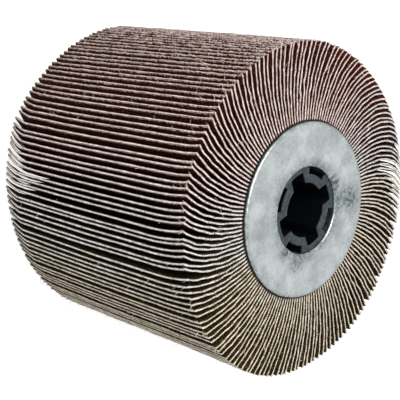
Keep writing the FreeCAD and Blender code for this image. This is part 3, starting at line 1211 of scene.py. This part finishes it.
@dataclass
class Threads:
    """Loose cotton threads that hang from the flaps' cut edges.

    A thread leaves its edge along the flap or along the axis and bends steadily to one side,
    as a thin tube with four sides, closed at both ends. Its heading and bend are shares of
    its length.
    """

    NODE = "flap_pack"

    short_count: int = 1100
    short_length: tuple[float, float] = (0.5 * MM, 1.8 * MM)
    long_count: int = 30
    long_length: tuple[float, float] = (2.5 * MM, 6.5 * MM)
    end_share: float = 0.3
    front_share: float = 0.6
    corner_share: float = 0.3
    axial: float = 0.25
    stray: float = 0.45
    most_axial: float = 0.2
    bend: float = 0.35
    axial_bend: float = 1.5
    overhang: float = 0.2 * MM
    radius: float = 0.07 * MM
    taper: float = 0.4
    steps: int = 4
    sharp: float = 80.0
    seed: int = 23

    def starts(
        self, walls: np.ndarray, rng: np.random.Generator
    ) -> tuple[np.ndarray, np.ndarray]:
        """Draws where the threads start and which way they head at first.

        They leave a tip, a cut end or a corner where the two meet. Those at an end lean a
        little along the axis.

        Args:
            walls: Places of the flaps' surfaces by flap, row and point of the section.
            rng: The source of random numbers.

        Returns:
            The starts and the headings, which have a length of 1.
        """
        total = self.short_count + self.long_count
        flaps, rows, ring = walls.shape[:3]
        tip = (ring - 2) // 2
        flap = rng.integers(flaps, size=total)
        from_end = rng.random(total) < self.end_share
        at_front = rng.random(total) < self.front_share
        at_corner = rng.random(total) < self.corner_share
        last = np.where(at_front, rows - 1, 0)
        row = np.where(from_end | at_corner, last, rng.integers(1, rows - 1, size=total))
        point = np.where(from_end & ~at_corner, rng.integers(tip // 3, tip, size=total), tip)
        away = walls[flap, row, tip] - walls[flap, row, tip - 3]
        away[:, 2] = 0.0
        away /= np.linalg.norm(away, axis=1)[:, None]
        axial = np.where(at_front, 1.0, -1.0)[:, None] * np.array([0.0, 0.0, 1.0])
        leaning = self.axial * axial + (1 - self.axial) * away
        heading = np.where(from_end[:, None], leaning, away)
        heading += rng.normal(0.0, self.stray, (total, 3))
        level = np.clip(heading[:, 2], -self.most_axial, self.most_axial)
        heading[:, 2] = np.where(from_end, level, heading[:, 2])
        heading /= np.linalg.norm(heading, axis=1)[:, None]
        return walls[flap, row, point], heading

    def tubes(
        self, middle: np.ndarray, heading: np.ndarray, share: np.ndarray
    ) -> tuple[np.ndarray, np.ndarray]:
        """Closed tubes with four sides round the threads' middle lines, tapered to the end.

        Args:
            middle: Places by thread and step.
            heading: The way that each thread heads at first.
            share: The share of its length at each step.

        Returns:
            The points and the quads.
        """
        slanting = (0.31, 0.52, 0.79)
        side = np.cross(heading, slanting)
        side /= np.linalg.norm(side, axis=1)[:, None]
        other = np.cross(heading, side)
        thin = self.radius * (1 - self.taper * share)
        corners = [middle + thin * way[:, None] for way in (side, other, -side, -other)]
        points = np.stack(corners, axis=2)
        numbers = np.arange(points[..., 0].size).reshape(points.shape[:3])
        closed = np.concatenate([numbers, numbers[:, :, :1]], axis=2)
        cells = (closed[:, :-1, :-1], closed[:, :-1, 1:], closed[:, 1:, 1:], closed[:, 1:, :-1])
        walls = np.stack(cells, axis=3).reshape(-1, 4)
        faces = np.concatenate([walls, numbers[:, 0, ::-1], numbers[:, -1]])
        return points.reshape(-1, 3), faces

    def build(self, walls: np.ndarray, material: Material) -> None:
        """Builds every thread as one piece.

        Args:
            walls: Places of the flaps' surfaces by flap, row and point of the section.
            material: The threads' material.
        """
        rng = np.random.default_rng(self.seed)
        short = rng.uniform(*self.short_length, self.short_count)
        lengths = np.concatenate([short, rng.uniform(*self.long_length, self.long_count)])
        start, heading = self.starts(walls, rng)
        bend = self.bend * rng.normal(0.0, 1.0, heading.shape)
        bend[:, 2] *= self.axial_bend
        share = np.linspace(0.0, 1.0, self.steps + 1)[None, :, None]
        path = heading[:, None] * share + bend[:, None] * share**2
        middle = start[:, None] + lengths[:, None, None] * path
        low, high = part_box(self.NODE)
        middle[..., 2] = np.clip(middle[..., 2], low.z - self.overhang, high.z + self.overhang)
        points, faces = self.tubes(middle, heading, share)
        piece = mesh_object("frayed_threads", points, faces, [material], sharp=self.sharp)
        dress(piece, Slot.CLOTH, self.NODE)


@dataclass
class EndPart:
    """A part that both ends of the drum have."""

    NAME = ""

    end: End

    @property
    def node(self) -> str:
        """The frame's node that it stands for."""
        return f"{self.end.name.lower()}_{self.NAME}"

    @property
    def face(self) -> float:
        """Height of its outer face."""
        low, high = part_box(self.node)
        return high.z if self.end is End.FRONT else low.z


@dataclass
class Flange(EndPart):
    """Pressed steel end flange: a disc with a rounded rim, its bore drawn in as a collar."""

    NAME = "flange"

    sheet: float = 1.2 * MM
    rim_round: float = 0.8 * MM
    back_inset: float = 0.1 * MM
    bore_radius: float = 15.4 * MM
    collar_wall: float = 0.95 * MM
    mouth_reach: float = 1.1 * MM
    mouth_drop: float = 0.8 * MM
    steps_rim: int = 10
    steps_mouth: int = 12
    steps_round: int = 288
    sharp: float = 35.0

    def profile(self) -> np.ndarray:
        """Radius and height above the outer face, for the front end.

        The disc's outer face lies at height 0. The rim is a quarter circle, the mouth is a
        quarter ellipse, and the collar runs down from it.
        """
        low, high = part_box(self.node)
        rim, depth = high.x, low.z - high.z
        wall, curve = self.bore_radius + self.collar_wall, self.rim_round
        mouth = (self.bore_radius + self.mouth_reach, -self.mouth_drop)
        parts = [
            [(wall, depth), (wall, -self.sheet), (rim - self.back_inset, -self.sheet)],
            quarter((rim - curve, -curve), curve, curve, 0.0, self.steps_rim),
            quarter(mouth, self.mouth_reach, self.mouth_drop, 90.0, self.steps_mouth),
            [(self.bore_radius, depth)],
        ]
        return np.concatenate(parts)

    def build(self, zinc: Material) -> None:
        """Builds the flange in its place."""
        outline = self.profile()
        outline[:, 1] = self.face + self.end.value * outline[:, 1]
        points, faces = turned(outline, self.steps_round)
        if self.end is End.FRONT:
            faces = faces[:, ::-1]
        piece = mesh_object(f"{self.node}_plate", points, faces, [zinc], sharp=self.sharp)
        dress(piece, Slot.ZINC, self.node)


@dataclass
class Bush(EndPart):
    """Moulded bush with a keyed bore: a spigot in the flange's collar, a barrel in the core.

    Both outlines are given as a radius for each direction. The bore is a circle, cut by
    keyways with parallel sides. The outside is a circle, cut by recesses with radial sides.
    """

    NAME = "bush"

    bore_radius: float = 9.65 * MM
    keyway_width: float = 6.6 * MM
    keyway_radius: float = 13.45 * MM
    spigot_radius: float = 15.35 * MM
    spigot_length: float = 5.3 * MM
    recess_radius: float = 12.75 * MM
    recess_angle: float = 36.0
    keyways: int = 4
    chamfer: float = 0.3 * MM
    steps_round: int = 720
    offset: float = 1e-4
    doubling: float = 0.05
    sharp: float = 30.0

    def inner_radius(self, way: np.ndarray) -> np.ndarray:
        """Radius of the bore in each direction, in radians.

        Beside a keyway it is half the keyway's width over the sine of the angle from its
        middle, held between the bore's radius and the keyway's.
        """
        quarter_turn = 2 * math.pi / self.keyways
        off = np.abs((way + quarter_turn / 2) % quarter_turn - quarter_turn / 2)
        half = self.keyway_width / 2
        side = half / np.maximum(np.sin(off), half / self.keyway_radius)
        return np.maximum(side, self.bore_radius)

    def outer_radius(self, way: np.ndarray, full: float) -> np.ndarray:
        """Radius of the outside in each direction, in radians, full between the recesses."""
        quarter_turn = 2 * math.pi / self.keyways
        off = np.abs(way % quarter_turn - quarter_turn / 2)
        return np.where(off < math.radians(self.recess_angle / 2), self.recess_radius, full)

    def ways(self) -> np.ndarray:
        """Directions of the points in radians, even round the bush but for a small offset.

        Each side of a recess has two points more, one on either side of it.
        """
        even = np.arange(self.steps_round) * 2 * math.pi / self.steps_round
        quarter_turn = 2 * math.pi / self.keyways
        half, near = math.radians(self.recess_angle / 2), math.radians(self.doubling)
        sides = [
            (k + 0.5) * quarter_turn + sign * half + small
            for k in range(self.keyways)
            for sign in (-1, 1)
            for small in (-near, near)
        ]
        return np.unique(np.round(np.concatenate([even + self.offset, sides]), 7))

    def build(self, nylon: Material) -> None:
        """Builds the bush in its place, as rings of points from its bore round its outside."""
        low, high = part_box(self.node)
        length, barrel, bevel = high.z - low.z, high.x, self.chamfer
        way = self.ways()
        bore = self.inner_radius(way)
        spigot, drum = self.outer_radius(way, self.spigot_radius), self.outer_radius(way, barrel)
        rings = [
            (bore, -length),
            (bore, -bevel),
            (bore + bevel / 2, -bevel / 4),
            (bore + bevel, 0.0),
            (spigot - bevel, 0.0),
            (spigot - bevel / 2, -bevel / 4),
            (spigot, -bevel),
            (spigot, -self.spigot_length),
            (drum, -self.spigot_length - bevel / 4),
            (drum, -length),
        ]
        radius = np.array([ring for ring, _ in rings])
        height = self.face + self.end.value * np.array([[z] for _, z in rings])
        flat = (radius * np.cos(way), radius * np.sin(way), height + 0 * way)
        points = np.stack(flat, axis=2).reshape(-1, 3)
        faces = closed_quads(len(rings), len(way))
        if self.end is End.REAR:
            faces = faces[:, ::-1]
        piece = mesh_object(f"{self.node}_moulding", points, faces, [nylon], sharp=self.sharp)
        dress(piece, Slot.PLASTIC, self.node)


# Studio


@dataclass(frozen=True)
class Lamp:
    """A square soft lamp: its place, its side and its power in watts."""

    name: str
    at: Place
    size: float
    power: float

    def hang(self, aim: Place) -> None:
        """Hangs the lamp in its place, so that it looks at the aim."""
        data = bpy.data.lights.new(self.name, "AREA")
        data.size, data.energy = self.size, self.power
        lamp = bpy.data.objects.new(self.name, data)
        lamp.location = self.at
        lamp.rotation_euler = (Vector(aim) - Vector(self.at)).to_track_quat("-Z", "Y").to_euler()
        bpy.context.scene.collection.objects.link(lamp)


@dataclass
class Studio:
    """Pale floor, soft lamps, white surroundings and the camera at the photograph's angle."""

    camera_at: Place = (-205.26 * MM, 160.6 * MM, 308.05 * MM)
    camera_sight: Place = (-2.97 * MM, -3.65 * MM, 49.78 * MM)
    camera_roll: float = 102.8
    camera_range: tuple[float, float] = (0.01, 20.0)
    lens: float = 85.28
    sensor: float = 36.0
    floor_size: float = 8.0
    floor_colour: str = "#CFCFCE"
    floor_roughness: float = 0.95
    floor_glow: float = 0.8
    white: str = "#FFFFFF"
    surroundings: float = 0.28
    lamps: tuple[Lamp, ...] = (
        Lamp("key", (-0.14, 0.44, 0.68), 0.5, 6.5),
        Lamp("fill", (-0.55, -0.2, 0.4), 0.6, 0.5),
    )
    aim: Place = (0.0, 0.0, 50.0 * MM)

    def build(self) -> None:
        """Builds the floor, the lamps, the world and the camera."""
        self.build_camera()
        self.build_floor()
        self.build_world()
        for lamp in self.lamps:
            lamp.hang(self.aim)
        bpy.context.scene.view_settings.view_transform = "Standard"

    def build_camera(self) -> None:
        """Sets up the camera, level towards its sight first and then rolled."""
        data = bpy.data.cameras.new("photo_camera")
        data.lens, data.sensor_width = self.lens, self.sensor
        data.clip_start, data.clip_end = self.camera_range
        camera = bpy.data.objects.new("photo_camera", data)
        sight = Vector(self.camera_sight) - Vector(self.camera_at)
        level = sight.to_track_quat("-Z", "Y")
        camera.rotation_mode = "QUATERNION"
        camera.rotation_quaternion = level @ Quaternion((0, 0, 1), math.radians(self.camera_roll))
        camera.location = self.camera_at
        bpy.context.scene.collection.objects.link(camera)
        bpy.context.scene.camera = camera

    @staticmethod
    def seen_directly(tree: Tree) -> Socket:
        """A number that is 1 for what the camera sees, also in a reflection or through glass."""
        rays = add_node(tree, "ShaderNodeLightPath").outputs
        seen = rays["Is Camera Ray"]
        for name in ("Is Glossy Ray", "Is Transmission Ray"):
            either = {0: seen, 1: rays[name]}
            seen = add_node(tree, "ShaderNodeMath", either, operation="MAXIMUM").outputs["Value"]
        return seen

    def build_floor(self) -> None:
        """Lays the floor, which shows nearly white to the camera and keeps the shadow."""
        half = self.floor_size / 2
        corners = np.array([(-half, -half, 0), (half, -half, 0), (half, half, 0), (-half, half, 0)])
        material, tree, shader = blank_material("studio_paper")
        fill(tree, shader, {"Base Color": linear(self.floor_colour), "Specular IOR Level": 0.0})
        fill(tree, shader, {"Roughness": self.floor_roughness})
        paper = shader.outputs["BSDF"]
        glow = add_node(tree, "ShaderNodeEmission", {"Strength": self.floor_glow})
        lit = add_node(tree, "ShaderNodeAddShader", {0: paper, 1: glow.outputs["Emission"]})
        shown = {0: self.seen_directly(tree), 1: paper, 2: lit.outputs["Shader"]}
        both = add_node(tree, "ShaderNodeMixShader", shown)
        output = next(node for node in tree.nodes if node.type == "OUTPUT_MATERIAL")
        fill(tree, output, {"Surface": both.outputs["Shader"]})
        floor = mesh_object("floor", corners, np.array([[0, 1, 2, 3]]), [material])
        floor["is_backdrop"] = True

    def build_world(self) -> None:
        """Sets even light from all round, which shows as white where it is seen."""
        world = bpy.data.worlds.new("studio")
        world.use_nodes = True
        tree = world.node_tree
        tree.nodes.clear()
        colour = linear(self.white)
        light, white = (
            add_node(tree, "ShaderNodeBackground", {"Color": colour, "Strength": strength})
            for strength in (self.surroundings, 1.0)
        )
        shown = {
            0: self.seen_directly(tree),
            1: light.outputs["Background"],
            2: white.outputs["Background"],
        }
        both = add_node(tree, "ShaderNodeMixShader", shown)
        add_node(tree, "ShaderNodeOutputWorld", {"Surface": both.outputs["Shader"]})
        bpy.context.scene.world = world


def main() -> None:
    logging.basicConfig(level=logging.INFO, format="%(name)s: %(message)s")
    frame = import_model()
    solid_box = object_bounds()
    cloth = [GrainCoat().material(), ClothBack().material(), CutEdge().material()]
    FlapPack().build(cloth, CAST_RESIN.material(), COTTON_THREAD.material())
    rim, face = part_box("front_flange")[1].x, solid_box[1][2]
    rubbed = tuple(((x * MM, y * MM, face), reach * MM) for x, y, reach in RUB_MARKS)
    Flange(End.FRONT).build(ZincPlate("dull_zinc_front", rim, rubbed).material())
    Flange(End.REAR).build(ZincPlate("dull_zinc_rear", rim).material())
    nylon = MouldedNylon().material()
    for end in End:
        Bush(end).build(nylon)
    core = frame["nodes"]["core_tube"]
    core.data.materials.clear()
    core.data.materials.append(WoundPaper().material())
    Studio().build()


if __name__ == "__main__":
    main()
